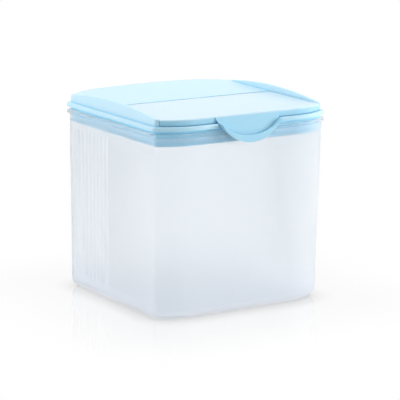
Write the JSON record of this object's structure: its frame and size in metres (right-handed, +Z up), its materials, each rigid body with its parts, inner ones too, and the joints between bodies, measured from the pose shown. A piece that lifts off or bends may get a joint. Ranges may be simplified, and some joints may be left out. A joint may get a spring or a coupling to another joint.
{
  "type": "freezer storage box with flip-open lid",
  "caption": "Clear square-sided freezer storage box with a plug-fit lid whose front half is a hinged flap with a crescent thumb tab.",
  "frame": {"origin": "on the floor, under the middle of the tub", "axes": "+Z up; -Y is the front, where the thumb tab is; +X is the box's own left seen from behind, right seen from the front"},
  "size_m": [0.174, 0.1705, 0.1754],
  "materials": {
    "clear_plastic": "frosted, translucent",
    "blue_plastic": "fine satin",
    "soft_seal": "matt"
  },
  "bodies": {
    "tub": {"tub": "clear_plastic"},
    "lid": {"lid_frame": "blue_plastic", "lid_seal": "soft_seal"},
    "flap": {"flap": "blue_plastic", "flap_seal": "soft_seal"}
  },
  "joints": [
    {"name": "lid_lift", "type": "slide", "parent": "tub", "child": "lid", "axis": [0, 0, 1], "range_m": [0, 0.06]},
    {"name": "flap_hinge", "type": "hinge", "parent": "lid", "child": "flap", "pos_m": [0, 0.0025, 0.169], "axis": [-1, 0, 0], "range_deg": [0, 100]}
  ]
}
